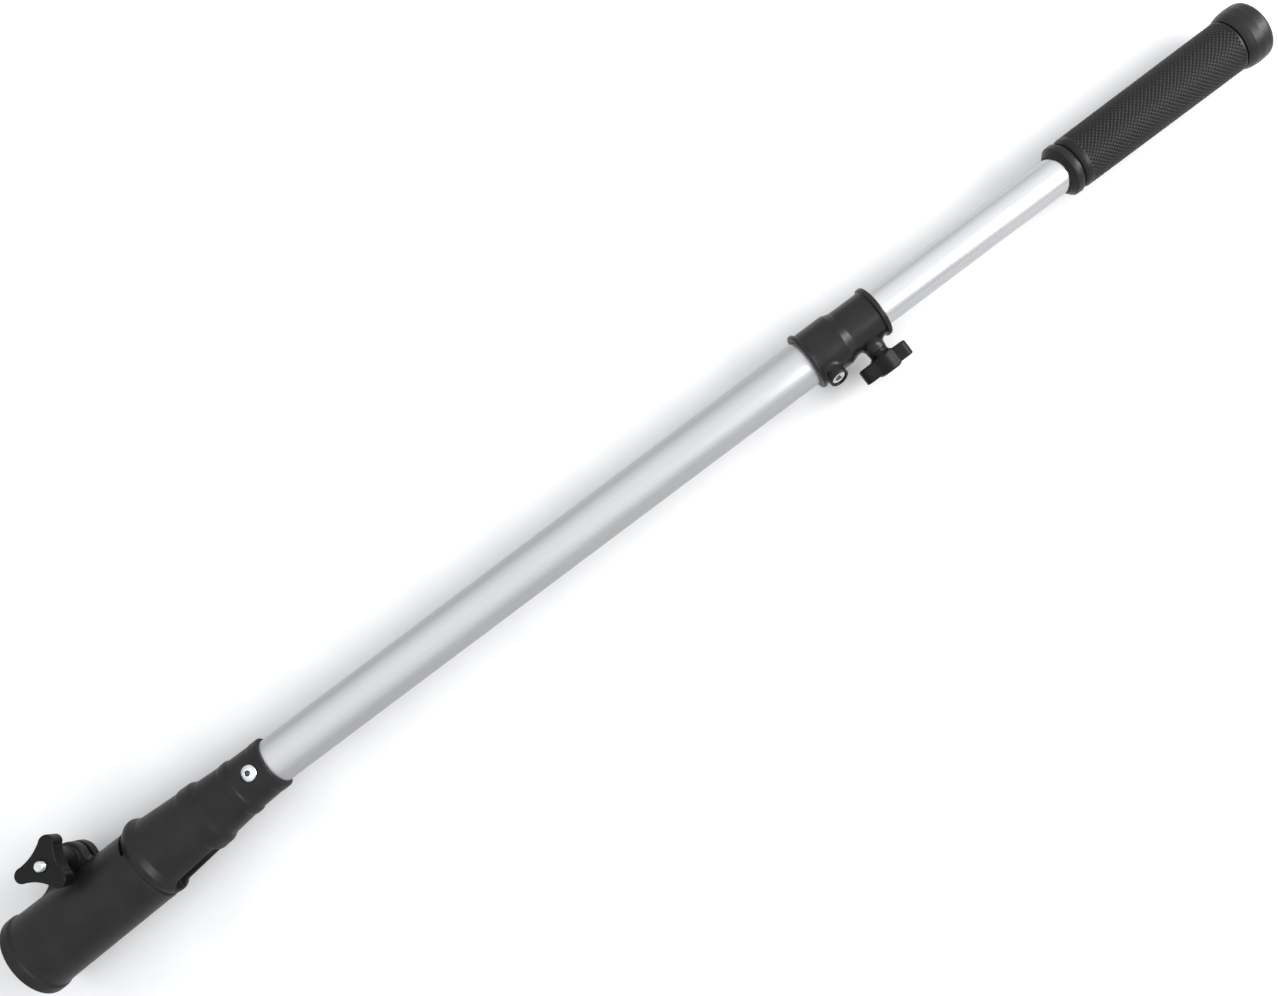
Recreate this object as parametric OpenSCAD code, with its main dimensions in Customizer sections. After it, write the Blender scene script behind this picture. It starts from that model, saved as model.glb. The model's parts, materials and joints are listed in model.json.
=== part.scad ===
// Telescopic tiller extension handle: a split clamp socket grips an outboard motor's tiller,
// an outer tube is riveted in the socket's neck, and an inner tube with a hand grip slides and
// turns in it until a tee-handled screw locks it. +X runs from the socket's mouth to the grip,
// +Y to the clamp's lugs, and +Z along the clamp bolt to its knob. The origin is the mouth's centre.

/* [Tiller socket] */
// Diameter of the bore that grips the motor's tiller
tiller_d = 39; // [34:0.5:40]
// Depth of the bore that grips the tiller
tiller_depth = 82.6; // [70:0.2:84]
// Outside diameter of the clamp sleeve near its mouth
sleeve_mouth_d = 46.2; // [45:0.1:47]
// Outside diameter of the clamp sleeve at its back
sleeve_back_d = 44.7; // [44:0.1:45.5]
// Diameter of the bead round the mouth
bead_d = 48.3; // [47.5:0.1:50]
// Width of the bead round the mouth
bead_w = 7; // [5:0.5:9]
// Gap between the two clamp lugs, and of the slot behind them
slot_gap = 3; // [2:0.5:4]
// Width of the relief slit that frees the clamp sleeve from the neck
relief_w = 1.7; // [1.2:0.1:2.2]
// Half of the angle that the relief slit covers, measured from the lugs
relief_half_angle = 68; // [50:1:80]

/* [Clamp lugs] */
// Distance of the clamp bolt from the mouth, along the socket
bolt_x = 48.2; // [46:0.1:50]
// Height of the clamp bolt above the socket's axis
bolt_y = 28.6; // [28.2:0.1:30]
// Radius of the rounded top of the lugs
lug_r = 10.2; // [9.5:0.1:12.5]
// Thickness over both lugs and the gap
lug_w = 16; // [15:0.5:17]

/* [Clamp bolt and knob] */
// Diameter of the clamp bolt, M6
bolt_d = 5.9; // [5.85:0.01:5.94]
// Length of the three-lobed knob, hub included
knob_h = 22; // [20:0.5:24]
// Thickness of the knob's lobes
knob_lobe_h = 10.5; // [9:0.5:12]
// Distance of a lobe's centre from the bolt
lobe_reach = 12; // [11:0.1:12.2]
// Radius of a lobe's tip
lobe_r = 4.5; // [4:0.1:4.6]
// Nearest that the knob's hollow sides come to the bolt
knob_waist = 8.6; // [8:0.1:9]
// Turn of the knob about the bolt when it is tight
knob_turn = 47; // [0:1:119]

/* [Neck] */
// Distance from the mouth to the end of the neck
neck_end = 171; // [168:0.1:178]
// Lift of the neck's axis towards the lugs
neck_lift = 1.4; // [0:0.1:2]
// Lean of the tubes away from the lugs, in degrees
pole_lean = 1.7; // [0:0.1:2.5]

/* [Tubes] */
// Outside diameter of the outer tube
outer_d = 27; // [27:0.1:27.2]
// Wall of the outer tube
outer_wall = 1.5; // [1.4:0.05:1.6]
// Outside diameter of the inner tube, the size that a handlebar grip fits
inner_d = 22; // [22:0.1:22.2]
// Wall of the inner tube
inner_wall = 1.2; // [1:0.1:1.5]
// Station where the outer tube starts inside the neck
outer_start = 97; // [94:0.5:100]
// Station where the outer tube ends inside the collar
outer_end = 562.4; // [550:0.1:563]
// Station where the inner tube starts inside the outer tube
inner_start = 300; // [295:0.5:320]

/* [Lock collar] */
// Station where the collar starts on the outer tube
collar_start = 538.6; // [530:0.1:539]
// Station where the collar ends on the inner tube
collar_end = 587.2; // [586:0.1:592]
// Diameter of the collar over the outer tube
collar_d = 31.6; // [31.2:0.1:32.5]
// Diameter of the collar over the inner tube
collar_nose_d = 28.3; // [27.5:0.1:29]
// Station of the tee-handled lock screw
lock_x = 574.3; // [571:0.1:575]
// Turn of the lock screw about the tubes, from the clamp knob's side
lock_turn = 102; // [80:1:120]
// Station of the collar's fixing screw
fix_x = 546.4; // [545:0.1:550]
// Turn of the fixing screw about the tubes, from the clamp knob's side
fix_turn = 72; // [50:1:75]

/* [Tee handle] */
// Length of the tee's bar
tee_len = 30.7; // [24:0.1:36]
// Width of the tee's bar
tee_w = 9; // [8:0.5:11]
// Height of the tee's bar
tee_h = 9.2; // [7:0.1:10]

/* [Grip] */
// Station where the grip starts on the inner tube
grip_start = 711.2; // [709:0.1:720]
// Diameter of the grip's front ring
grip_ring_d = 31.2; // [30:0.1:33]
// Width of the grip's front ring
grip_ring_w = 9.5; // [8:0.1:16]
// Length of the textured sleeve
sleeve_len = 109.7; // [100:0.1:120]
// Diameter of the textured sleeve at its front
sleeve_front_d = 30.6; // [29:0.1:31]
// Diameter of the textured sleeve at its back
sleeve_rear_d = 31.2; // [30:0.1:32]
// Largest diameter of the end cap
cap_d = 35.1; // [34:0.1:37]
// Length of the end cap that shows
cap_len = 16.8; // [16:0.1:20]

/* [Hidden] */
$fn = 96;

fit = 0.05;                             // radial gap of pieces that are assembled or run together
clear = 0.3;                            // radial gap of faces that pass without touching
lap = 1;                                // how far a cutter passes the face that it opens

// Socket stations and radii
tiller_r = tiller_d / 2;
mouth_chamfer = 1.5;
bead_round = 1.4;
sleeve_end = tiller_depth - relief_w + 0.3;
web_end = outer_start;
drain_r = 9;
ring_start = tiller_depth + 0.8;
ring_end = ring_start + 9.2;
ring_r = 24.1;
neck_root_r = 21.5;
neck_mid_r = 19.6;
boss_x = 119.6;                         // the neck's middle ring
boss_r = 20.3;
boss_end = 128;
waist_root_r = 17.7;
waist_r = 16.7;
band_x = 146.2;                         // the small ring before the rivets
band_r = 17;
band_end = 150.3;
tail_r = 15.7;
lip_x = 165.6;
lip_r = 15.8;
pocket_start = 88;
pocket_len = 31;
pocket_w = 11.6;
pocket_depth = 4.5;

// Clamp hardware
lug_half = lug_w / 2;
washer_r = 8.2;
washer_t = 1.6;
washer_bottom = lug_half + 0.1;
knob_bottom = washer_bottom + washer_t + 0.1;
knob_top = knob_bottom + knob_h;
stud_proud = 3;
hub_root_r = 8.6;
hub_r = 7.6;
insert_r = 5;
insert_len = 16;
hex_flats = 10;
hex_h = 4;
cos30 = cos(30);
ramp_x = 28.4;
ramp_y = 21;

// Rivets
rivet_x = 161.2;
rivet_seat = 15.2;                      // the flat that the rivet's head rests on
rivet_head_r = 4.8;
rivet_head_h = 2;
rivet_r = 2.4;
rivet_tail_r = 3.3;
mandrel_r = 1.3;

// Tubes
outer_r = outer_d / 2;
outer_bore_r = outer_r - outer_wall;
inner_r = inner_d / 2;
inner_bore_r = inner_r - inner_wall;
inner_end = grip_start + grip_ring_w + sleeve_len;

// Collar
collar_r = collar_d / 2;
nose_r = collar_nose_d / 2;
collar_lip_r = 17.3;
collar_lip_w = 3;
nose_lip_r = 15.5;
nose_lip_w = 2.8;
shoulder_start = 559.8;
shoulder_end = 564.4;
seat_end = outer_end + 1.4;
boss_lock_r = 5.8;
boss_lock_top = 18.2;
boss_fix_r = 5.75;
boss_fix_top = 21.5;

// Collar screw, M5 socket head
fix_head_r = 4.25;
fix_head_h = 4;
fix_head_top = 20.6;
fix_shank_r = 2.45;
fix_tip = 11.6;
key_flats = 4;
key_depth = 2.4;

// Lock screw, M6, with its insert, swivelling pad and tee
lock_r = 2.95;
lock_tip = 12.3;
lock_top = 28;
lock_insert_r = 4.2;
lock_insert_bottom = 12.5;
lock_insert_top = 18;
pad_r = 2.6;
pad_face = inner_r + fit;
pad_t = 1.15;
pad_stem_r = 1.25;
pad_stem_top = 15;
tee_hub_r = 5.6;
tee_hub_bottom = 18.3;
tee_bar_bottom = 21.8;
tee_crown_r = 6.6;
tee_crown_h = 1.1;

// Bushes
bush_len = 29;
bush_flange_t = 1.1;
slip_w = 7.8;
slip_play = 0.1;
slip_slit = 1.5;
groove_r = 8;
plug_spigot_r = inner_bore_r - fit;
plug_spigot_len = 14;
plug_flange_r = 11;
plug_flange_t = 2;
groove_start = inner_start - plug_flange_t - slip_w - 2 * slip_play;

// Grip
core_r = 13;
core_groove_r = 13.6;
core_groove_w = 2;
ring_chamfer = 3.4;
ring_front_r = 12;
cap_start = inner_end + 0.4;
cap_spigot_len = 20;

// A turned piece: points are [radius, station] pairs, and stations run along +X.
module turned(points) {
    rotate([0, 90, 0])
        rotate_extrude()
            polygon(points);
}

// A round bar along +X from one station to another.
module bar_x(radius, from, to) {
    translate([from, 0, 0])
        rotate([0, 90, 0])
            cylinder(r = radius, h = to - from);
}

// Pieces on the tubes: the tubes lean about the neck's end, and stations keep their distance from it.
module on_pole() {
    translate([neck_end, neck_lift, 0])
        rotate([0, 0, -pole_lean])
            translate([-neck_end, 0, 0])
                children();
}

// A place on the tubes with +Z pointing straight out: turned about the tubes from the knob's side.
module at_station(station, turn) {
    on_pole()
        translate([station, 0, 0])
            rotate([turn, 0, 0])
                children();
}

module at_bolt() {
    translate([bolt_x, bolt_y, 0])
        children();
}

module at_rivets() {
    for (turn = [0, 180])
        at_station(rivet_x, turn)
            children();
}

// The lugs' outline is a round top on a block, with a ramp up from the mouth's side.
module lug_pair() {
    ramp = [bolt_x - ramp_x, bolt_y - ramp_y];
    reach = norm(ramp);
    slope = atan2(ramp[1], ramp[0]) + asin(lug_r / reach);
    tangent = sqrt(reach * reach - lug_r * lug_r);
    at_bolt()
        translate([0, 0, -lug_half])
            cylinder(r = lug_r, h = lug_w);
    translate([0, 0, -lug_half])
        linear_extrude(lug_w)
            polygon([
                [ramp_x, ramp_y],
                [ramp_x + tangent * cos(slope), ramp_y + tangent * sin(slope)],
                [bolt_x, bolt_y],
                [bolt_x + lug_r, bolt_y],
                [bolt_x + lug_r, tiller_r - lap],
                [ramp_x, tiller_r - lap]
            ]);
}

module socket_sleeve() {
    turned([
        [0, 0],
        [bead_d / 2 - bead_round, 0],
        [bead_d / 2, bead_round],
        [bead_d / 2, bead_w - 1],
        [sleeve_mouth_d / 2, bead_w],
        [sleeve_back_d / 2, ring_start - lap],
        [sleeve_back_d / 2, ring_start + lap],
        [0, ring_start + lap]
    ]);
}

module socket_neck() {
    translate([0, neck_lift, 0])
        turned([
            [0, ring_start - 2.5],
            [sleeve_back_d / 2 - 2, ring_start - 2.5],
            [ring_r - 0.6, ring_start + 2.6],
            [ring_r, ring_start + 3.8],
            [ring_r, ring_start + 5.4],
            [neck_root_r, ring_end],
            [neck_mid_r, boss_x - 1.6],
            [boss_r, boss_x],
            [boss_r - 0.5, boss_end],
            [waist_root_r, boss_end + 2.8],
            [waist_r, band_x - 1],
            [band_r, band_x],
            [band_r, band_end],
            [tail_r + 0.4, band_end + 1],
            [tail_r, lip_x - 0.5],
            [lip_r, lip_x],
            [lip_r, neck_end - 1],
            [lip_r - 1, neck_end],
            [0, neck_end]
        ]);
}

// The sector that the relief slit opens, from the slot round both sides of the sleeve.
module relief_slit() {
    far = 40;
    translate([sleeve_end, 0, 0])
        rotate([0, 90, 0])
            linear_extrude(relief_w)
                polygon([
                    [0, 0],
                    [-far * sin(relief_half_angle), far * cos(relief_half_angle)],
                    [-far * sin(relief_half_angle), far],
                    [far * sin(relief_half_angle), far],
                    [far * sin(relief_half_angle), far * cos(relief_half_angle)]
                ]);
}

module tiller_socket() {
    color([0.13, 0.13, 0.14])
        difference() {
            union() {
                socket_sleeve();
                socket_neck();
                lug_pair();
            }
            bar_x(tiller_r, -lap, tiller_depth);
            turned([
                [0, -lap],
                [tiller_r + mouth_chamfer + lap, -lap],
                [tiller_r, mouth_chamfer],
                [0, mouth_chamfer]
            ]);
            bar_x(drain_r, tiller_depth - lap, web_end + lap);
            on_pole()
                bar_x(outer_r + fit, web_end, neck_end + 5);
            translate([-lap, 0, -slot_gap / 2])
                cube([sleeve_end + relief_w + lap, bolt_y + lug_r + lap, slot_gap]);
            relief_slit();
            at_bolt() {
                translate([0, 0, -lug_half - lap])
                    cylinder(r = bolt_d / 2 + fit, h = lug_w + 2 * lap);
                translate([0, 0, -lug_half - lap])
                    cylinder(r = (hex_flats / 2 + fit) / cos30, h = hex_h + lap, $fn = 6);
                translate([0, 0, lug_half])
                    cylinder(r = washer_r + 0.4, h = knob_top);
            }
            at_rivets() {
                cylinder(r = rivet_r + fit, h = rivet_seat + lap);
                translate([0, 0, rivet_seat])
                    cylinder(r = rivet_head_r + 0.5, h = lip_r);
            }
            translate([pocket_start, neck_lift - neck_root_r - lap, -pocket_w / 2])
                cube([pocket_len, pocket_depth + lap, pocket_w]);
        }
}

module clamp_bolt() {
    end_chamfer = 0.8;
    color([0.78, 0.79, 0.8])
        at_bolt() {
            translate([0, 0, -lug_half])
                cylinder(r = hex_flats / 2 / cos30, h = hex_h, $fn = 6);
            translate([0, 0, -lug_half + hex_h])
                cylinder(r = bolt_d / 2, h = lug_half - hex_h + knob_top + stud_proud - end_chamfer);
            translate([0, 0, knob_top + stud_proud - end_chamfer])
                cylinder(r1 = bolt_d / 2, r2 = bolt_d / 2 - end_chamfer, h = end_chamfer);
        }
}

module clamp_washer() {
    color([0.72, 0.73, 0.74])
        at_bolt()
            translate([0, 0, washer_bottom])
                difference() {
                    cylinder(r = washer_r, h = washer_t);
                    translate([0, 0, -lap])
                        cylinder(r = bolt_d / 2 + fit, h = washer_t + 2 * lap);
                }
}

// Three lobes joined by hollow sides. Each side is an arc that runs into two lobes.
module knob_lobes(height) {
    inside = 0.9;
    overlap = 0.5;
    tangent_r = (lobe_reach * lobe_reach + knob_waist * knob_waist - lobe_reach * knob_waist
                 - lobe_r * lobe_r) / (2 * lobe_r + lobe_reach - 2 * knob_waist);
    side_r = tangent_r + overlap;
    corner = inside * lobe_r;
    difference() {
        linear_extrude(height)
            polygon([
                for (lobe = [0:2], side = [-1, 1])
                    let (turn = 120 * lobe, across = side * corner)
                    [lobe_reach * cos(turn) - across * sin(turn),
                     lobe_reach * sin(turn) + across * cos(turn)]
            ]);
        for (side = [0:2])
            rotate([0, 0, 60 + 120 * side])
                translate([knob_waist + side_r, 0, -lap])
                    cylinder(r = side_r, h = height + 2 * lap);
    }
    for (lobe = [0:2])
        rotate([0, 0, 120 * lobe])
            translate([lobe_reach, 0, 0])
                cylinder(r = lobe_r, h = height);
}

module clamp_knob() {
    color([0.11, 0.11, 0.12])
        at_bolt()
            rotate([0, 0, knob_turn])
                difference() {
                    union() {
                        translate([0, 0, knob_bottom])
                            cylinder(r1 = hub_root_r, r2 = hub_r, h = knob_h - knob_lobe_h + 0.5);
                        translate([0, 0, knob_top - knob_lobe_h])
                            knob_lobes(knob_lobe_h);
                    }
                    translate([0, 0, knob_bottom - lap])
                        cylinder(r = bolt_d / 2 + clear, h = knob_h + 2 * lap);
                    translate([0, 0, knob_bottom - lap])
                        cylinder(r = insert_r + fit, h = insert_len + lap);
                }
}

module clamp_knob_insert() {
    color([0.8, 0.65, 0.35])
        at_bolt()
            translate([0, 0, knob_bottom])
                difference() {
                    cylinder(r = insert_r, h = insert_len - fit);
                    translate([0, 0, -lap])
                        cylinder(r = bolt_d / 2 + fit, h = insert_len + 2 * lap);
                }
}

// A blind rivet: a domed head on the neck, a shank through neck and tube, and a bulb inside.
module socket_rivets() {
    dome_r = (rivet_head_r * rivet_head_r + rivet_head_h * rivet_head_h) / (2 * rivet_head_h);
    tail_h = 2;
    tail_top = sqrt(outer_bore_r * outer_bore_r - rivet_tail_r * rivet_tail_r) - fit;
    color([0.85, 0.86, 0.87])
        at_rivets()
            difference() {
                union() {
                    intersection() {
                        translate([0, 0, rivet_seat + rivet_head_h - dome_r])
                            sphere(r = dome_r);
                        translate([0, 0, rivet_seat])
                            cylinder(r = rivet_head_r + lap, h = dome_r);
                    }
                    translate([0, 0, tail_top - fit])
                        cylinder(r = rivet_r, h = rivet_seat - tail_top + 2 * fit);
                    translate([0, 0, tail_top - tail_h])
                        cylinder(r = rivet_tail_r, h = tail_h);
                }
                cylinder(r = mandrel_r + 0.02, h = rivet_seat + dome_r);
            }
}

module rivet_mandrels() {
    bottom = 8;
    head_h = 1.3;
    color([0.3, 0.3, 0.31])
        at_rivets() {
            translate([0, 0, bottom])
                cylinder(r = mandrel_r, h = rivet_seat + 0.6 - bottom);
            translate([0, 0, bottom - head_h])
                cylinder(r = mandrel_r + 0.7, h = head_h);
        }
}

module outer_tube() {
    color([0.8, 0.81, 0.83])
        difference() {
            on_pole()
                difference() {
                    bar_x(outer_r, outer_start, outer_end);
                    bar_x(outer_bore_r, outer_start - lap, outer_end + lap);
                }
            at_rivets()
                cylinder(r = rivet_r + fit, h = outer_r + lap);
            at_station(fix_x, fix_turn)
                cylinder(r = fix_shank_r + fit, h = outer_r + lap);
        }
}

// The bush in the outer tube's mouth that the inner tube runs in.
module guide_bush() {
    color([0.9, 0.9, 0.87])
        difference() {
            on_pole()
                difference() {
                    union() {
                        bar_x(outer_bore_r - fit, outer_end - bush_len, outer_end + bush_flange_t);
                        bar_x(outer_r - fit, outer_end + fit, outer_end + bush_flange_t);
                    }
                    bar_x(inner_r + fit, outer_end - bush_len - lap, outer_end + bush_flange_t + lap);
                }
            at_station(fix_x, fix_turn)
                cylinder(r = fix_shank_r + fit, h = outer_r);
        }
}

module lock_collar() {
    color([0.12, 0.12, 0.13])
        difference() {
            union() {
                on_pole()
                    turned([
                        [0, collar_start],
                        [collar_lip_r - 0.6, collar_start],
                        [collar_lip_r, collar_start + 0.6],
                        [collar_lip_r, collar_start + collar_lip_w - 0.8],
                        [collar_r, collar_start + collar_lip_w],
                        [collar_r, shoulder_start],
                        [nose_r, shoulder_end],
                        [nose_r, collar_end - nose_lip_w - 0.6],
                        [nose_lip_r, collar_end - nose_lip_w + 0.3],
                        [nose_lip_r, collar_end - 0.8],
                        [nose_lip_r - 0.8, collar_end],
                        [0, collar_end]
                    ]);
                at_station(lock_x, lock_turn)
                    cylinder(r = boss_lock_r, h = boss_lock_top);
                at_station(fix_x, fix_turn)
                    cylinder(r = boss_fix_r, h = boss_fix_top);
            }
            on_pole() {
                bar_x(outer_r + fit, collar_start - lap, seat_end);
                bar_x(inner_r + clear, seat_end - lap, collar_end + lap);
            }
            at_station(lock_x, lock_turn) {
                cylinder(r = lock_r + clear, h = boss_lock_top + lap);
                translate([0, 0, lock_insert_bottom])
                    cylinder(r = lock_insert_r + fit, h = boss_lock_top);
            }
            at_station(fix_x, fix_turn) {
                cylinder(r = fix_shank_r + fit, h = boss_fix_top);
                translate([0, 0, fix_head_top - fix_head_h])
                    cylinder(r = fix_head_r + 0.2, h = boss_fix_top - fix_head_top + fix_head_h + lap);
            }
        }
}

module collar_screw() {
    color([0.8, 0.81, 0.82])
        at_station(fix_x, fix_turn)
            difference() {
                union() {
                    translate([0, 0, fix_tip])
                        cylinder(r = fix_shank_r, h = fix_head_top - fix_tip - 1);
                    translate([0, 0, fix_head_top - fix_head_h])
                        cylinder(r = fix_head_r, h = fix_head_h);
                }
                translate([0, 0, fix_head_top - key_depth])
                    cylinder(r = key_flats / 2 / cos30, h = key_depth + lap, $fn = 6);
            }
}

module lock_insert() {
    color([0.8, 0.65, 0.35])
        at_station(lock_x, lock_turn)
            difference() {
                translate([0, 0, lock_insert_bottom + fit])
                    cylinder(r = lock_insert_r, h = lock_insert_top - lock_insert_bottom - fit);
                cylinder(r = lock_r + fit, h = lock_insert_top + lap);
            }
}

// The pad swivels in the screw's tip, so that it presses on the inner tube without turning.
module lock_pad() {
    color([0.92, 0.9, 0.82])
        at_station(lock_x, lock_turn) {
            translate([0, 0, pad_face])
                cylinder(r = pad_r, h = pad_t);
            translate([0, 0, pad_face + pad_t - fit])
                cylinder(r = pad_stem_r, h = pad_stem_top - pad_face - pad_t + fit);
        }
}

module lock_screw() {
    color([0.7, 0.71, 0.72])
        at_station(lock_x, lock_turn)
            difference() {
                translate([0, 0, lock_tip])
                    cylinder(r = lock_r, h = lock_top - lock_tip);
                translate([0, 0, lock_tip - lap])
                    cylinder(r = pad_stem_r + fit, h = pad_stem_top + 0.2 - lock_tip + lap);
            }
}

module lock_knob() {
    end_reach = tee_len / 2 - tee_w / 2;
    color([0.11, 0.11, 0.12])
        at_station(lock_x, lock_turn)
            difference() {
                union() {
                    translate([0, 0, tee_hub_bottom])
                        cylinder(r = tee_hub_r, h = tee_bar_bottom - tee_hub_bottom + lap);
                    translate([-end_reach, -tee_w / 2, tee_bar_bottom])
                        cube([2 * end_reach, tee_w, tee_h]);
                    for (side = [-1, 1])
                        translate([side * end_reach, 0, tee_bar_bottom])
                            cylinder(r = tee_w / 2, h = tee_h);
                    translate([0, 0, tee_bar_bottom])
                        cylinder(r1 = tee_crown_r, r2 = tee_crown_r - 1, h = tee_h + tee_crown_h);
                }
                translate([0, 0, tee_hub_bottom - lap])
                    cylinder(r = lock_r + 0.02, h = lock_top + 0.02 - tee_hub_bottom + lap);
            }
}

// The split ring that guides the inner tube's hidden end in the outer tube.
module slip_ring() {
    color([0.9, 0.9, 0.87])
        on_pole()
            difference() {
                bar_x(outer_bore_r - fit, groove_start + slip_play, groove_start + slip_play + slip_w);
                bar_x(groove_r + fit, groove_start - lap, inner_start);
                translate([groove_start - lap, 0, -slip_slit / 2])
                    cube([slip_w + 2 * lap, outer_bore_r + lap, slip_slit]);
            }
}

module inner_end_plug() {
    color([0.16, 0.16, 0.17])
        on_pole() {
            bar_x(plug_flange_r, groove_start - plug_flange_t, groove_start);
            bar_x(groove_r, groove_start - fit, inner_start - plug_flange_t + fit);
            bar_x(plug_flange_r, inner_start - plug_flange_t, inner_start);
            bar_x(plug_spigot_r, inner_start - fit, inner_start + plug_spigot_len);
        }
}

module inner_tube() {
    color([0.82, 0.83, 0.85])
        on_pole()
            difference() {
                bar_x(inner_r, inner_start, inner_end);
                bar_x(inner_bore_r, inner_start - lap, inner_end + lap);
            }
}

// The stiff core carries the front ring and goes on under the textured sleeve.
module grip_core() {
    front_end = grip_start + grip_ring_w - core_groove_w;
    color([0.12, 0.12, 0.13])
        on_pole()
            difference() {
                turned([
                    [0, grip_start],
                    [ring_front_r, grip_start],
                    [grip_ring_d / 2 - 0.3, grip_start + ring_chamfer],
                    [grip_ring_d / 2, grip_start + ring_chamfer + 1],
                    [grip_ring_d / 2, front_end - 0.6],
                    [grip_ring_d / 2 - 0.6, front_end],
                    [core_groove_r, front_end],
                    [core_groove_r, grip_start + grip_ring_w],
                    [core_r, grip_start + grip_ring_w],
                    [core_r, inner_end],
                    [0, inner_end]
                ]);
                bar_x(inner_r + 0.02, grip_start - lap, inner_end + lap);
            }
}

module grip_sleeve() {
    sleeve_start = grip_start + grip_ring_w + fit;
    color([0.1, 0.1, 0.105])
        on_pole()
            difference() {
                turned([
                    [0, sleeve_start],
                    [sleeve_front_d / 2 - 0.6, sleeve_start],
                    [sleeve_front_d / 2, sleeve_start + 0.6],
                    [sleeve_rear_d / 2, inner_end - 0.6],
                    [sleeve_rear_d / 2 - 0.6, inner_end],
                    [0, inner_end]
                ]);
                bar_x(core_r + 0.02, sleeve_start - lap, inner_end + lap);
            }
}

// The cap flares from the sleeve, rounds over and closes the inner tube with its spigot.
module grip_end_cap() {
    cap_r = cap_d / 2;
    cap_root_r = sleeve_rear_d / 2;
    cap_end = cap_start + cap_len;
    edge_r = 4;
    crown = 0.6;
    edge = [for (turn = [0:15:90]) [cap_r - edge_r + edge_r * cos(turn),
                                    cap_end - crown - edge_r + edge_r * sin(turn)]];
    color([0.12, 0.12, 0.13])
        on_pole() {
            turned(concat(
                [[0, cap_start],
                 [cap_root_r, cap_start],
                 [cap_root_r + 0.95, cap_start + 2],
                 [cap_root_r + 1.6, cap_start + 4.5],
                 [cap_r, cap_start + 8]],
                edge,
                [[0, cap_end]]
            ));
            bar_x(inner_bore_r - fit, inner_end - cap_spigot_len, cap_start + fit);
        }
}

tiller_socket();
clamp_bolt();
clamp_washer();
clamp_knob();
clamp_knob_insert();
socket_rivets();
rivet_mandrels();
outer_tube();
guide_bush();
lock_collar();
collar_screw();
lock_insert();
lock_pad();
lock_screw();
lock_knob();
slip_ring();
inner_end_plug();
inner_tube();
grip_core();
grip_sleeve();
grip_end_cap();
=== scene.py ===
# The looks of a telescopic tiller extension handle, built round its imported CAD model.
# Lengths in the pieces' own frames are in millimetres, and Blender's are in metres.

import json
import math

import bpy
import numpy as np
from mathutils import Matrix, Vector


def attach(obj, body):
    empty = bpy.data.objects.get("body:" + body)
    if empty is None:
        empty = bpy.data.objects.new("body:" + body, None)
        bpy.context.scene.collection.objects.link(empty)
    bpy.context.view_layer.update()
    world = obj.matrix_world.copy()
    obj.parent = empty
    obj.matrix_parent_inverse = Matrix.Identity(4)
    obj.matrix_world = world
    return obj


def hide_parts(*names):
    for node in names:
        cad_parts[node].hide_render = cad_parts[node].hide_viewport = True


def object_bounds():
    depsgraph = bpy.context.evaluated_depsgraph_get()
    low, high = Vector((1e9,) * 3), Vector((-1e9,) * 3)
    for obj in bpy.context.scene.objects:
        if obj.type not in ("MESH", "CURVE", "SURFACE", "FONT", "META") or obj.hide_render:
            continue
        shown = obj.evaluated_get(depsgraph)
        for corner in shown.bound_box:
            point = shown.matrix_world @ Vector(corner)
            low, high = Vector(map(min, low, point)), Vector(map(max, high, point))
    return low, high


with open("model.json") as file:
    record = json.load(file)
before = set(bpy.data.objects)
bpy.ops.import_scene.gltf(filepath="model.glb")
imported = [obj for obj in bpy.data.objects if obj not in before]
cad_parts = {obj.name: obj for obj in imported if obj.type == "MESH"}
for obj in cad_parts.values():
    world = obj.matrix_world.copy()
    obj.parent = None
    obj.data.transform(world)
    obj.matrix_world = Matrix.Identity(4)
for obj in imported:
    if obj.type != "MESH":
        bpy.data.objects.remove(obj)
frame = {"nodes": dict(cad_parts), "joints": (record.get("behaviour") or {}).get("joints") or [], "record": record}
cad_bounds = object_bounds()

MM = 0.001
record = frame["record"]
joints = {j["name"]: j for j in frame["joints"]}
body_of = {n: b for b, nodes in record["behaviour"]["bodies"].items() for n in nodes}
slot_of = {s["node"]: s["material_slot"] for s in record["subparts"]}


# ---------------------------------------------------------------- places

def unit(v):
    v = np.array(v, float)
    return v / np.linalg.norm(v)


class Place:
    """A local frame in millimetres, with its origin and its x and z axes given in the row frame."""

    def __init__(self, origin, x=(1, 0, 0), z=(0, 0, 1)):
        z = unit(z)
        x = unit(np.array(x, float) - np.dot(x, z) * z)
        self.origin = np.array(origin, float)
        self.axes = np.array([x, np.cross(z, x), z])

    def world(self, points):
        return self.origin + np.asarray(points) @ self.axes

    def local(self, points):
        return (np.asarray(points) - self.origin) @ self.axes.T

    def span(self, node):
        """Lowest and highest corner of a CAD node in this frame."""
        mesh = frame["nodes"][node].data
        points = np.zeros(len(mesh.vertices) * 3, np.float32)
        mesh.vertices.foreach_get("co", points)
        points = self.local(points.reshape(-1, 3).astype(float) / MM)
        return points.min(0), points.max(0)


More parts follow.
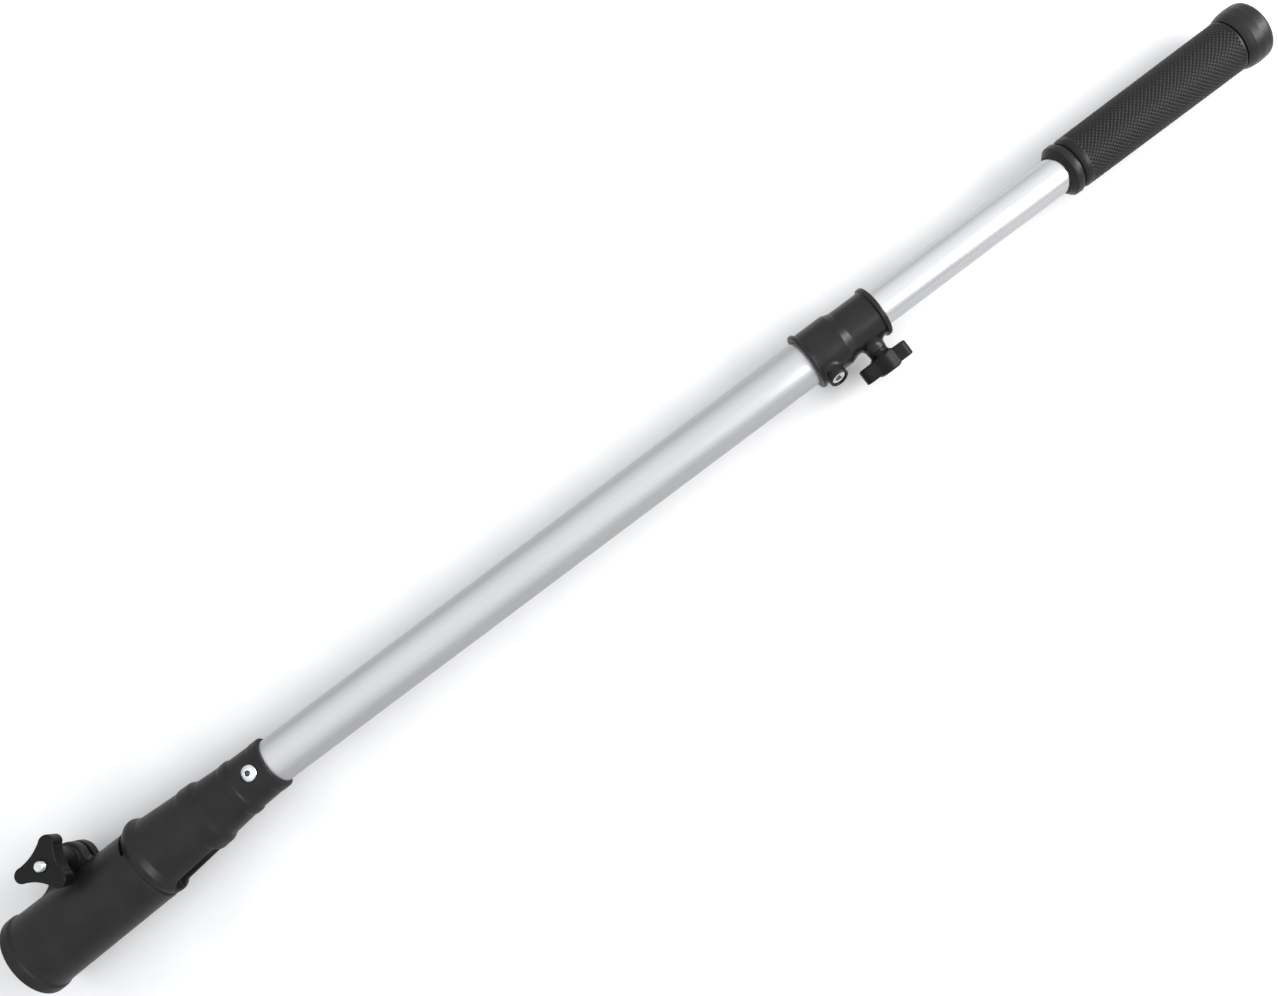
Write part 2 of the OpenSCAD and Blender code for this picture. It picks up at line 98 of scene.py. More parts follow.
# SOCKET lies along the socket's bore, and POLE along the tubes, measured from the mouth's plane.
# BOLT, LOCK and FIX point out along the clamp bolt, the lock screw and the collar's fixing screw.
SOCKET = Place((0, 0, 0))
pole_axis = np.array(joints["telescope"]["axis"])
pole_point = np.array(joints["grip_turn"]["pos_m"]) / MM
POLE = Place(pole_point - pole_axis * pole_point[0] / pole_axis[0], x=pole_axis)
BOLT = Place(np.array(joints["clamp_turn"]["pos_m"]) / MM * (1, 1, 0))
lock_axis = np.array(joints["lock_turn"]["axis"])
lock_point = np.array(joints["lock_turn"]["pos_m"]) / MM
lock_station = POLE.local(lock_point)[0]
LOCK = Place(POLE.world([lock_station, 0, 0]), x=pole_axis, z=lock_axis)
fix_low, fix_high = POLE.span("collar_screw")
fix_mid = (fix_low + fix_high) / 2
FIX = Place(POLE.world([fix_mid[0], 0, 0]), x=pole_axis,
            z=POLE.world([0, fix_mid[1], fix_mid[2]]) - POLE.world([0, 0, 0]))


# ---------------------------------------------------------------- meshes

def add_piece(name, points, faces, node, normals=None, sharp=35):
    """A new piece that stands for a CAD node, from points in the row frame in millimetres."""
    mesh = bpy.data.meshes.new(name)
    mesh.from_pydata((np.asarray(points) * MM).tolist(), [], [list(f) for f in faces])
    mesh.validate()
    mesh.polygons.foreach_set("use_smooth", [True] * len(mesh.polygons))
    if normals is not None:
        mesh.normals_split_custom_set_from_vertices(normals.tolist())
    else:
        mesh.set_sharp_from_angle(angle=math.radians(sharp))
    mesh.update()
    obj = bpy.data.objects.new(name, mesh)
    bpy.context.scene.collection.objects.link(obj)
    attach(obj, body_of[node])
    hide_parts(node)
    obj.data.materials.append(materials[slot_of[node]])
    return obj


def soften(outline, radius, steps=5):
    """The closed outline of (station, radius) points with each corner rounded.
    A third number gives a corner its own rounding."""
    done = []
    for i, corner in enumerate(outline):
        p = np.array(corner[:2], float)
        back = np.array(outline[i - 1][:2], float) - p
        on = np.array(outline[(i + 1) % len(outline)][:2], float) - p
        long_back, long_on = np.linalg.norm(back), np.linalg.norm(on)
        back, on = back / long_back, on / long_on
        half = math.acos(max(-1.0, min(1.0, float(back @ on)))) / 2
        size = corner[2] if len(corner) > 2 else radius
        reach = min(size / max(math.tan(half), 1e-3), 0.45 * long_back, 0.45 * long_on)
        if size <= 0 or half > 1.55:
            done.append(p)
            continue
        a, b = p + back * reach, p + on * reach
        for t in np.linspace(0, 1, steps):
            done.append((1 - t) ** 2 * a + 2 * t * (1 - t) * p + t * t * b)
    return np.array(done)


def lathe(name, place, outline, node, sides=128, relief=None, shift=None, sharp=35):
    """A turned piece about the place's x axis.
    relief(station, angle, radius) gives a new radius, and shift(station, angle) a move along x."""
    outline = np.asarray(outline, float)
    turn = np.linspace(0, 2 * math.pi, sides, endpoint=False)
    points, rows = [], []
    for station, radius in outline:
        if radius < 1e-6:
            rows.append([len(points)] * sides)
            points.append((station, 0, 0))
            continue
        r = np.full(sides, radius) if relief is None else relief(station, turn, radius)
        rows.append(list(range(len(points), len(points) + sides)))
        x = np.full(sides, station) if shift is None else station + shift(station, turn)
        points.extend(zip(x, r * np.cos(turn), r * np.sin(turn)))
    faces = []
    for i in range(len(rows)):
        a, b = rows[i], rows[(i + 1) % len(rows)]
        if a[0] == a[1] and b[0] == b[1]:
            continue
        for k in range(sides):
            m = (k + 1) % sides
            face = list(dict.fromkeys((a[k], a[m], b[m], b[k])))
            if len(face) > 2:
                faces.append(face)
    return add_piece(name, place.world(points), faces, node, sharp=sharp)


def shape_mesh(shape, low, high, cell):
    """The surface where shape(x, y, z) is 0, as points, faces and normals in its own frame."""
    low, high = np.array(low, float), np.array(high, float)
    count = np.ceil((high - low) / cell).astype(int) + 1
    x, y, z = (low[i] + cell * np.arange(count[i]) for i in range(3))
    field = np.broadcast_to(
        shape(x[:, None, None], y[None, :, None], z[None, None, :]), count).astype(np.float32)
    inside = field < 0
    corners = [(i, j, k) for i in (0, 1) for j in (0, 1) for k in (0, 1)]
    n = count - 1
    held = sum(inside[i:i + n[0], j:j + n[1], k:k + n[2]].astype(np.int8) for i, j, k in corners)
    crossed = (held > 0) & (held < 8)
    where = np.argwhere(crossed)
    index = np.full(crossed.shape, -1, np.int64)
    index[crossed] = np.arange(len(where))
    total, hits = np.zeros((len(where), 3)), np.zeros(len(where))
    for a in corners:
        for axis in range(3):
            if a[axis]:
                continue
            b = list(a)
            b[axis] = 1
            va = field[tuple((where + a).T)]
            vb = field[tuple((where + b).T)]
            cut = (va < 0) != (vb < 0)
            share = va[cut] / (va[cut] - vb[cut])
            total[cut] += np.array(a) + share[:, None] * (np.array(b) - a)
            hits[cut] += 1
    points = low + cell * (where + total / hits[:, None])
    faces = []
    for axis in range(3):
        one, two = [i for i in range(3) if i != axis]
        first = np.take(inside, range(count[axis] - 1), axis)
        second = np.take(inside, range(1, count[axis]), axis)
        edge = np.argwhere(first != second)
        edge = edge[(edge[:, one] > 0) & (edge[:, two] > 0)]
        edge = edge[(edge[:, one] < n[one]) & (edge[:, two] < n[two])]
        ring = []
        for du, dv in ((0, 0), (-1, 0), (-1, -1), (0, -1)):
            cell_at = edge.copy()
            cell_at[:, one] += du
            cell_at[:, two] += dv
            ring.append(index[tuple(cell_at.T)])
        quad = np.stack(ring, 1)
        out = first[tuple(edge.T)] == (axis == 1)
        quad[out] = quad[out][:, ::-1]
        faces.append(quad)

    def slope(p):
        step = 0.02
        grad = np.zeros_like(p)
        for i in range(3):
            d = np.zeros(3)
            d[i] = step
            grad[:, i] = (shape(*(p + d).T) - shape(*(p - d).T)) / (2 * step)
        return grad

    for _ in range(3):
        grad = slope(points)
        move = shape(*points.T)[:, None] * grad / np.maximum((grad ** 2).sum(1), 0.05)[:, None]
        far = np.maximum(np.linalg.norm(move, axis=1) / (0.5 * cell), 1)
        points = points - move / far[:, None]
    normals = slope(points)
    normals /= np.maximum(np.linalg.norm(normals, axis=1), 1e-6)[:, None]
    return points, np.concatenate(faces), normals


def moulded(name, place, shape, low, high, cell, node):
    """A piece whose surface is where shape is 0."""
    points, faces, normals = shape_mesh(shape, low, high, cell)
    return add_piece(name, place.world(points), faces, node, normals=normals @ place.axes)


# ---------------------------------------------------------------- shape functions
# Each gives the distance from a surface, negative inside.

def blend(a, b, k):
    """Both shapes, with a fillet between them."""
    h = np.clip(0.5 + 0.5 * (b - a) / k, 0, 1)
    return b + (a - b) * h - k * h * (1 - h)


def common(a, b, k):
    """What both shapes share, with its edges rounded."""
    return -blend(-a, -b, k)


def cut(a, b, k):
    """The first shape less the second, with its edges rounded."""
    return -blend(-a, b, k)


def slab(u, low, high):
    """Between two parallel planes."""
    return np.maximum(low - u, u - high)


def rod(u, v, radius):
    """A round rod without ends."""
    return np.hypot(u, v) - radius


def rounded_box(u, v, half_u, half_v, radius):
    """A rectangular bar without ends, with rounded corners."""
    a, b = np.abs(u) - half_u + radius, np.abs(v) - half_v + radius
    return np.hypot(np.maximum(a, 0), np.maximum(b, 0)) + np.minimum(np.maximum(a, b), 0) - radius


def hexagon(u, v, flats):
    """A hexagonal bar without ends, given its width across flats."""
    s = math.sqrt(3) / 2
    slants = np.maximum(np.abs(v / 2 + u * s), np.abs(v / 2 - u * s))
    return np.maximum(np.abs(v), slants) - flats / 2


class Profile:
    """A turned surface from (station, radius) points, with its corners softened."""

    def __init__(self, points, soft):
        step = 0.05
        stations, radii = zip(*points)
        self.x = np.arange(stations[0] - 5, stations[-1] + 5, step)
        reach = int(soft / step)
        kernel = np.hanning(2 * reach + 1)
        radius = np.interp(self.x, stations, radii)
        self.r = np.convolve(np.pad(radius, reach, mode="edge"), kernel / kernel.sum(), "valid")
        self.slope = np.gradient(self.r, step)

    def height(self, x):
        return np.interp(x, self.x, self.r)

    def __call__(self, x, radius):
        lean = np.interp(x, self.x, self.slope)
        return (radius - np.interp(x, self.x, self.r)) / np.sqrt(1 + lean ** 2)


# ---------------------------------------------------------------- materials

# Which output of its node gives each of these.
POINTINESS, OBJECT_COORDINATES = 7, 3


class Shader:
    """One material's node tree. Inputs are numbers, colours or other nodes' outputs."""

    def __init__(self, name):
        self.material = bpy.data.materials.new(name)
        self.material.use_nodes = True
        self.tree = self.material.node_tree
        self.tree.nodes.clear()

    def node(self, kind, inputs, out=0, **settings):
        made = self.tree.nodes.new("ShaderNode" + kind)
        for key, value in settings.items():
            setattr(made, key, value)
        for key, value in inputs.items():
            if isinstance(value, bpy.types.NodeSocket):
                self.tree.links.new(value, made.inputs[key])
            else:
                made.inputs[key].default_value = value
        return made.outputs[out]

    def where(self, stretch=(1, 1, 1), turn=(0, 0, 0)):
        """The piece's own coordinates in metres, turned and then stretched."""
        here = self.node("TexCoord", {}, out=OBJECT_COORDINATES)
        turned = self.node("Mapping", {"Vector": here, "Rotation": turn})
        return self.node("Mapping", {"Vector": turned, "Scale": stretch})

    def noise(self, size_mm, place, detail=3.0, rough=0.55):
        return self.node("TexNoise", {"Vector": place, "Scale": 1 / (size_mm * MM),
                                      "Detail": detail, "Roughness": rough})

    def range(self, value, low, high, to_low, to_high):
        return self.node("MapRange", {"Value": value, "From Min": low, "From Max": high,
                                      "To Min": to_low, "To Max": to_high})

    def math(self, how, a, b):
        return self.node("Math", {0: a, 1: b}, operation=how)

    def mix(self, share, a, b):
        return self.node("Mix", {0: share, 6: a, 7: b}, out=2, data_type="RGBA")

    def bump(self, height, distance_mm, strength=1.0, normal=None):
        inputs = {"Height": height, "Distance": distance_mm * MM, "Strength": strength}
        if normal is not None:
            inputs["Normal"] = normal
        return self.node("Bump", inputs)

    def surface(self, **inputs):
        spaced = {key.replace("_", " "): value for key, value in inputs.items()}
        shader = self.node("BsdfPrincipled", spaced)
        self.node_output(shader)
        return self.material

    def node_output(self, shader):
        out = self.tree.nodes.new("ShaderNodeOutputMaterial")
        self.tree.links.new(shader, out.inputs[0])


def grey(value, tint=(1, 1, 1)):
    """A colour for a socket: the tint, made lighter or darker by the value."""
    return (value * tint[0], value * tint[1], value * tint[2], 1)


def plastic(name, shade, rough, grain=0.012, tint=(0.99, 1, 1.02), wear_and_highlight=0.5, ior=1.24):
    """Moulded plastic: a fine satin grain, uneven gloss, edges pale partly from handling and partly as a painted
    highlight, and painted shade in its creases.
    """
    s = Shader(name)
    here = s.where()
    cloud = s.noise(14, here, 2)
    fine = s.noise(0.45, here, 4, 0.6)
    scuff = s.noise(2.2, s.where((0.35, 1.6, 1.6)), 5, 0.7)
    edge = s.node("NewGeometry", {}, out=POINTINESS)
    # Paler edges: partly wear from handling, partly a painted highlight along them.
    edge_wear_and_highlight = s.range(edge, 0.52, 0.60, 0, wear_and_highlight)
    edge_wear_and_highlight = s.math("MULTIPLY", edge_wear_and_highlight, s.range(scuff, 0.42, 0.62, 0.15, 1))
    # Hollows and creases are painted darker: painted shade.
    painted_crease_shade = s.range(edge, 0.40, 0.48, 1, 0)
    base = s.mix(s.range(cloud, 0.35, 0.65, 0, 1),
                 grey(shade * 0.82, tint), grey(shade * 1.2, tint))
    base = s.mix(edge_wear_and_highlight, base, grey(shade * 3.2 + 0.012, tint))
    base = s.mix(s.math("MULTIPLY", painted_crease_shade, 0.6), base, grey(shade * 0.45, tint))
    gloss = s.range(cloud, 0.3, 0.7, rough - 0.04, rough + 0.04)
    gloss = s.math("ADD", gloss, s.range(scuff, 0.35, 0.75, -0.05, 0.07))
    gloss = s.math("SUBTRACT", gloss, s.math("MULTIPLY", edge_wear_and_highlight, 0.1))
    normal = s.bump(fine, grain, 1.0)
    normal = s.bump(s.noise(6, here, 2), 0.05, 0.6, normal)
    return s.surface(Base_Color=base, Roughness=gloss, IOR=ior, Normal=normal)


def rubber(name, shade):
    """Soft rubber: matt, with painted shade in its grooves and its ridges paler, partly from hands and partly as a
    painted highlight; rubbed smoother where hands hold it.
    """
    s = Shader(name)
    here = s.where()
    cloud = s.noise(22, here, 3)
    fine = s.noise(0.3, here, 4, 0.65)
    edge = s.node("NewGeometry", {}, out=POINTINESS)
    # The ridges are rubbed smoother by hands, and painted paler, partly as wear and partly as a painted highlight.
    top = s.range(edge, 0.50, 0.58, 0, 1)
    base = s.mix(s.range(cloud, 0.35, 0.65, 0, 1), grey(shade * 0.8), grey(shade * 1.15))
    base = s.mix(s.math("MULTIPLY", top, 0.55), base, grey(shade * 2.6 + 0.008))
    # Grooves painted darker: painted shade.
    base = s.mix(s.range(edge, 0.42, 0.49, 0.5, 0), base, grey(shade * 0.4))
    gloss = s.range(cloud, 0.3, 0.7, 0.34, 0.44)
    gloss = s.math("SUBTRACT", gloss, s.math("MULTIPLY", top, 0.08))
    return s.surface(Base_Color=base, Roughness=gloss, IOR=1.25, Normal=s.bump(fine, 0.02))


def anodised(name, shade, rough):
    """Anodised aluminium tube: drawn lines along it, a gloss that varies, and small rub marks."""
    s = Shader(name)
    lean = (0, 0, -math.atan2(pole_axis[1], pole_axis[0]))
    along = s.where((0.012, 1, 1), lean)
    lines = s.noise(0.35, along, 3, 0.6)
    broad = s.noise(5, s.where((0.06, 1, 1), lean), 2)
    cloud = s.noise(40, s.where(), 3)
    rub = s.noise(3, s.where((0.5, 1, 1), lean), 6, 0.75)
    base = s.mix(s.range(lines, 0.3, 0.7, 0, 1), grey(shade * 0.95, (0.99, 1, 1.012)),
                 grey(shade * 1.03, (0.99, 1, 1.012)))
    base = s.mix(s.range(cloud, 0.35, 0.65, 0, 0.35), base, grey(shade * 0.93, (1, 1, 1)))
    gloss = s.range(broad, 0.3, 0.7, rough - 0.03, rough + 0.03)
    gloss = s.math("ADD", gloss, s.range(rub, 0.55, 0.8, 0, 0.03))
    normal = s.bump(lines, 0.004, 1.0)
    normal = s.bump(s.noise(0.12, s.where(), 2), 0.0025, 1.0, normal)
    return s.surface(Base_Color=base, Metallic=1.0, Roughness=gloss, Normal=normal)


def metal(name, colour, rough, depth=0.004):
    """Plated or turned metal: fine tool lines, uneven brightness, painted shade in its corners and a painted
    highlight on its edges.
    """
    s = Shader(name)
    here = s.where()
    cloud = s.noise(2.5, here, 4, 0.6)
    fine = s.noise(0.12, here, 3, 0.6)
    edge = s.node("NewGeometry", {}, out=POINTINESS)
    base = s.mix(s.range(cloud, 0.3, 0.7, 0, 1), grey(0.75, colour), grey(1, colour))
    # Corners painted darker: painted shade.
    base = s.mix(s.range(edge, 0.42, 0.5, 0.6, 0), base, grey(0.35, colour))
    # Edges painted paler: a painted highlight.
    base = s.mix(s.range(edge, 0.53, 0.6, 0, 0.5), base, grey(1.25, colour))
    gloss = s.range(cloud, 0.3, 0.7, rough - 0.06, rough + 0.08)
    return s.surface(Base_Color=base, Metallic=1.0, Roughness=gloss, Normal=s.bump(fine, depth))


materials = {
    "socket_plastic": plastic("socket_plastic", 0.0066, 0.42),
    "knob_plastic": plastic("knob_plastic", 0.003, 0.38, grain=0.008, wear_and_highlight=0.8, ior=1.2),
    "collar_plastic": plastic("collar_plastic", 0.0045, 0.34, wear_and_highlight=0.6, ior=1.28),
    "grip_plastic": plastic("grip_plastic", 0.006, 0.38, wear_and_highlight=0.5, ior=1.28),
    "plug_plastic": plastic("plug_plastic", 0.012, 0.5),
    "bush_plastic": plastic("bush_plastic", 0.42, 0.42, tint=(1, 1, 0.95), wear_and_highlight=0.1),
    "pad_nylon": plastic("pad_nylon", 0.48, 0.45, tint=(1, 0.97, 0.88), wear_and_highlight=0.1),
    "grip_rubber": rubber("grip_rubber", 0.0045),
    "outer_tube_aluminium": anodised("outer_tube_aluminium", 0.37, 0.34),
    "inner_tube_aluminium": anodised("inner_tube_aluminium", 0.43, 0.26),
    "rivet_aluminium": metal("rivet_aluminium", (0.56, 0.57, 0.58), 0.22),
    "bolt_steel": metal("bolt_steel", (0.46, 0.47, 0.48), 0.26, depth=0.006),
    "washer_steel": metal("washer_steel", (0.38, 0.39, 0.41), 0.30),
    "screw_steel": metal("screw_steel", (0.52, 0.53, 0.54), 0.18),
    "mandrel_steel": metal("mandrel_steel", (0.09, 0.09, 0.10), 0.45, depth=0.02),
    "insert_brass": metal("insert_brass", (0.50, 0.36, 0.15), 0.25),
}
for node_name, node_object in frame["nodes"].items():
    node_object.data.materials.clear()
    node_object.data.materials.append(materials[slot_of[node_name]])


# ---------------------------------------------------------------- socket

socket_low, socket_high = SOCKET.span("tiller_socket")
neck_end = socket_high[0]
bead_r = -socket_low[2]
bore = record["mounts"][0]
bore_r, bore_end = bore["dims"]["r_mm"], bore["pos_m"][0] / MM + bore["dims"]["length_mm"]
bolt_x, bolt_y = BOLT.origin[:2]
lug_r = socket_high[1] - bolt_y
rivet_low, rivet_high = POLE.span("socket_rivets")
rivet_station = (rivet_low[0] + rivet_high[0]) / 2
lift = POLE.world([neck_end / pole_axis[0], 0, 0])[1]
tube_end, _, tube_r = POLE.span("outer_tube")[1]

sleeve_line = Profile([(0, bead_r - 0.4), (1.6, bead_r), (5.6, bead_r), (7.2, 23.1),
                       (30, 22.8), (81, 22.35), (90, 22.35)], 0.8)
neck_line = Profile([(79, 20), (81.4, 20.4), (84.8, 22.9), (87, 24.1), (88.9, 24.1),
                     (92.6, 21.5), (117.6, 19.5), (131.0, 17.75), (145.2, 16.6), (146.4, 17.0),
                     (149.8, 16.95), (151.3, 16.05), (164.6, 15.6), (165.6, 15.85),
                     (neck_end, 15.8)], 0.8)
ring_line = Profile([(117.8, 0), (120, 0.9), (127, 1.45), (130.4, 0)], 0.8)

# The ramp up to the lugs starts on the sleeve and meets their round tops, a little low of touching.
ramp_x, ramp_y = 28.4, 21
ramp_run, ramp_rise = bolt_x - ramp_x, bolt_y - ramp_y
ramp_lean = math.atan2(ramp_rise, ramp_run) - 0.1
ramp_lean += math.asin(lug_r / math.hypot(ramp_rise, ramp_run))
lug_half = 8.0
slot_half, relief_half = 1.5, math.radians(68)
drain_r, tube_seat = 9, 97
head_flats, head_seat, washer_seat_r = 10.2, 4, 9.6
rivet_seat_r, rivet_seat = 5.3, 15.2
pocket_x, pocket_half_long, pocket_half_wide, pocket_floor = 103.5, 15.5, 5.8, 17.0


def socket_shape(x, y, z):
    """The split sleeve and the ringed neck, with the lugs, the bores and the slots."""
    sleeve = common(sleeve_line(x, np.hypot(y, z)), slab(x, 0, bore_end + 1.6), 1.1)
    r = np.hypot(y - lift, z)
    along = (x - neck_end) * pole_axis[0] + (y - lift) * pole_axis[1]
    across = -(x - neck_end) * pole_axis[1] + (y - lift) * pole_axis[0]
    # The middle ring stands out at the sides that face the lugs and away, and fades between them.
    stand = 0.3 + 0.7 * np.clip(1.4 * np.abs(y - lift) / np.maximum(r, 1) - 0.4, 0, 1)
    ring = stand * ring_line.height(x)
    neck = common(neck_line(x, r - ring), np.maximum(bore_end - 1.7 - x, along), 0.7)
    body = blend(sleeve, neck, 0.6)

    # Two lugs: a round top on a block, with a ramp up from the mouth's side.
    ramp = math.cos(ramp_lean) * (y - ramp_y) - math.sin(ramp_lean) * (x - ramp_x)
    block = np.maximum(np.maximum(ramp, x - bolt_x - lug_r), y - bolt_y)
    block = np.maximum(block, 14 - y)
    outline = blend(rod(x - bolt_x, y - bolt_y, lug_r), block, 0.5)
    lugs = common(outline, np.abs(z) - lug_half, 1.6)
    body = blend(body, lugs, 3.0)

    # The bore with a rounded mouth, the web's drain hole, and the tube's bore in the neck.
    body = cut(body, np.maximum(rod(y, z, bore_r), x - bore_end), 1.6)
    body = cut(body, np.maximum(rod(y, z, drain_r), slab(x, 70, tube_seat + 1)), 0.6)
    body = cut(body, np.maximum(rod(across, z, tube_r + 0.05), tube_seat - neck_end - along), 0.4)

    # The clamp slot, and the relief slit at its end.
    slot = np.maximum(np.abs(z) - slot_half, 5 - y)
    body = cut(body, np.maximum(slot, x - bore_end - 0.3), 0.5)
    wedge = np.abs(z) * math.cos(relief_half) - y * math.sin(relief_half)
    body = cut(body, np.maximum(slab(x, bore_end - 1.4, bore_end + 0.3), wedge), 0.5)

    # The bolt's hole, its head's pocket, and the flat for the washer.
    body = cut(body, np.maximum(rod(x - bolt_x, y - bolt_y, 3), slab(z, -12, 12)), 0.3)
    body = cut(body, np.maximum(hexagon(x - bolt_x, y - bolt_y, head_flats), z + head_seat), 0.4)
    body = cut(body, np.maximum(rod(x - bolt_x, y - bolt_y, washer_seat_r), lug_half - z), 0.6)

    # A flat seat under each rivet's head, and the pocket that keeps the underside's wall even.
    for side in (-1, 1):
        u = along - (rivet_station - neck_end)
        body = cut(body, np.maximum(rod(u, across, rivet_seat_r), rivet_seat - side * z), 0.3)
    pocket = rounded_box(x - pocket_x, z, pocket_half_long, pocket_half_wide, 1.0)
    pocket = common(pocket, y - (lift - pocket_floor), 0.5)
    return cut(body, pocket, 1.4)


moulded("socket_shell", SOCKET, socket_shape, socket_low - 1.5, socket_high + 1.5,
        0.5, "tiller_socket")


# ---------------------------------------------------------------- clamp bolt, washer and knob

knob_low, knob_high = BOLT.span("clamp_knob")
bolt_low, bolt_high = BOLT.span("clamp_bolt")
washer_low, washer_high = BOLT.span("clamp_washer")
lobe_reach, lobe_r, waist, web_reach = 12.0, 4.5, 8.6, 9.5
head_h, hub_r, hub_flare = 10.5, 8.0, 0.9
side_r = (lobe_reach ** 2 + waist ** 2 - lobe_reach * waist - lobe_r ** 2) / (
    2 * lobe_r + lobe_reach - 2 * waist)
knob_turn = math.radians(47)


def thread(u, v, w, radius, pitch, depth):
    """A right-hand thread along w, with flat crests."""
    phase = (w / pitch - np.arctan2(v, u) / (2 * math.pi)) % 1
    groove = np.clip(2.4 * np.abs(phase - 0.5) - 0.2, 0, 1)
    return np.hypot(u, v) - radius + depth * (1 - groove)


# Radius, pitch and depth of the threads.
M6, M5 = (2.95, 1.0, 0.3), (2.45, 0.8, 0.25)


def knob_shape(x, y, z):
    """Three round lobes joined by a web with hollow sides, on a hub that flares at its foot."""
    lobes, web = 99.0, -99.0
    for i in range(3):
        a = knob_turn + i * 2 * math.pi / 3
        b = a + math.pi / 3
        lobe = rod(x - lobe_reach * math.cos(a), y - lobe_reach * math.sin(a), lobe_r)
        lobes = np.minimum(lobes, lobe)
        web = np.maximum(web, x * math.cos(a) + y * math.sin(a) - lobe_reach)
        web = np.maximum(web, x * math.cos(b) + y * math.sin(b) - web_reach)
        web = np.maximum(web, side_r - np.hypot(x - (waist + side_r) * math.cos(b),
                                                y - (waist + side_r) * math.sin(b)))
    low, high = knob_low[2], knob_high[2]
    outline = blend(lobes, web, 0.6)
    head = common(outline + 0.035 * (high - z), slab(z, high - head_h, high), 1.1)
    r = np.hypot(x, y)
    hub = hub_r + hub_flare * np.clip((low + 3.2 - z) / 3.2, 0, 1) ** 2 - 0.05 * (z - low)
    body = blend(head, common(r - hub, slab(z, low, high - 5), 0.8), 2.5)
    body = cut(body, np.maximum(r - 3.25, slab(z, low - 5, high + 5)), 0.5)
    return cut(body, np.maximum(r - 5.05, z - low - 16.0), 0.2)


moulded("clamp_knob_head", BOLT, knob_shape, knob_low - 1, knob_high + 1,
        0.32, "clamp_knob")


def bolt_shape(x, y, z):
    """A hex bolt, with its shank threaded at the knob's end and a chamfer on its tip."""
    head = common(hexagon(x, y, 10), slab(z, bolt_low[2], bolt_low[2] + 4), 0.3)
    low, high = bolt_low[2] + 3.5, bolt_high[2]
    shank = np.where(z > 12, thread(x, y, z, *M6), rod(x, y, M6[0]))
    end = (np.hypot(x, y) + z - high - M6[0] + 0.7) * 0.707
    return np.minimum(head, np.maximum(common(shank, slab(z, low, high), 0.2), end))


moulded("clamp_bolt_stud", BOLT, bolt_shape, bolt_low - 0.6, bolt_high + 0.6,
        0.16, "clamp_bolt")

# The washer is turned about the bolt, so its place has the bolt along x.
BOLT_X = Place(BOLT.origin, x=(0, 0, 1), z=(1, 0, 0))
lathe("clamp_washer_disc", BOLT_X, soften([
    (washer_low[2], 3.0), (washer_low[2], washer_high[0]), (washer_high[2], washer_high[0]),
    (washer_high[2], 3.0)], 0.3), "clamp_washer", sides=96)


# ---------------------------------------------------------------- rivets

def rivet_shape(x, y, z):
    """Both rivets, in the tubes' frame: a domed flange, a shank and a hollow for the mandrel."""
    u, w = x - rivet_station, np.abs(z)
    r = np.hypot(u, y)
    top, dome_r = rivet_high[2], 6.76
    head = common(np.sqrt(r * r + (w - top + dome_r) ** 2) - dome_r, rivet_seat - w, 0.25)
    head = common(head, r - 4.75, 0.3)
    body = blend(head, np.maximum(r - 2.4, slab(w, 11.4, 15.6)), 0.2)
    body = np.minimum(body, common(r - 3.3, slab(w, 9.5, 11.5), 0.5))
    return cut(body, r - 1.42 - 0.25 * np.clip(w - top + 0.9, 0, 1), 0.25)


def mandrel_shape(x, y, z):
    """Both mandrels: a head inside the tube, and a stub broken off rough in the rivet's middle."""
    u, w = x - rivet_station, np.abs(z)
    r = np.hypot(u, y)
    ragged = 0.18 * np.sin(3.1 * u + 1) * np.cos(2.7 * y)
    return common(np.where(w < 8, r - 2.0, r - 1.3), slab(w, 6.7, 15.75 + ragged), 0.2)


rivet_cell = 0.16
for side in (-1, 1):
    low = [rivet_station - 5.4, -5.4, 6 if side > 0 else -18]
    high = [rivet_station + 5.4, 5.4, 18 if side > 0 else -6]
    tag = "near" if side > 0 else "far"
    moulded("rivet_" + tag, POLE, rivet_shape, low, high, rivet_cell, "socket_rivets")
    moulded("mandrel_" + tag, POLE, mandrel_shape, low, high, rivet_cell, "rivet_mandrels")


# ---------------------------------------------------------------- tubes

def tube(name, node):
    """A drawn tube as long and as wide as its CAD node, with its ends' edges broken."""
    low, high = POLE.span(node)
    inner = {"outer_tube": 12.0, "inner_tube": 9.8}[node]
    stations = np.linspace(low[0], high[0], 9)[1:-1]
    outline = [(low[0], inner), (low[0], high[2])] + [(s, high[2], 0) for s in stations]
    outline += [(high[0], high[2]), (high[0], inner)]
    return lathe(name, POLE, soften(outline, 0.35), node, sides=192, sharp=30)


tube("outer_tube_drawn", "outer_tube")
tube("inner_tube_drawn", "inner_tube")


# ---------------------------------------------------------------- lock collar

collar_low, collar_high = POLE.span("lock_collar")
collar_start, collar_end = collar_low[0], collar_high[0]
collar_line = Profile([
    (collar_start, 17.1), (collar_start + 0.7, 17.3), (collar_start + 2.2, 17.25),
    (collar_start + 3.0, 15.8), (collar_start + 21.2, 15.75), (collar_start + 25.8, 14.2),
    (collar_end - 3.3, 14.1), (collar_end - 2.8, 15.5), (collar_end - 0.8, 15.5),
    (collar_end, 15.1)], 0.4)
seat_end = tube_end + 1.4
lock_turn = math.atan2(-lock_axis[1] / pole_axis[0], lock_axis[2])
fix_turn = math.atan2(-fix_mid[1], fix_mid[2])
lock_boss_r, lock_boss_top = 5.85, 18.2
fix_boss_r, fix_boss_top, screw_top, screw_head_h = 5.75, 21.5, 20.6, 4
insert_r, insert_floor = 4.25, 12.5


def out_along(y, z, turn):
    """Distance out along a screw turned about the tubes, and across it."""
    return z * math.cos(turn) - y * math.sin(turn), z * math.sin(turn) + y * math.cos(turn)


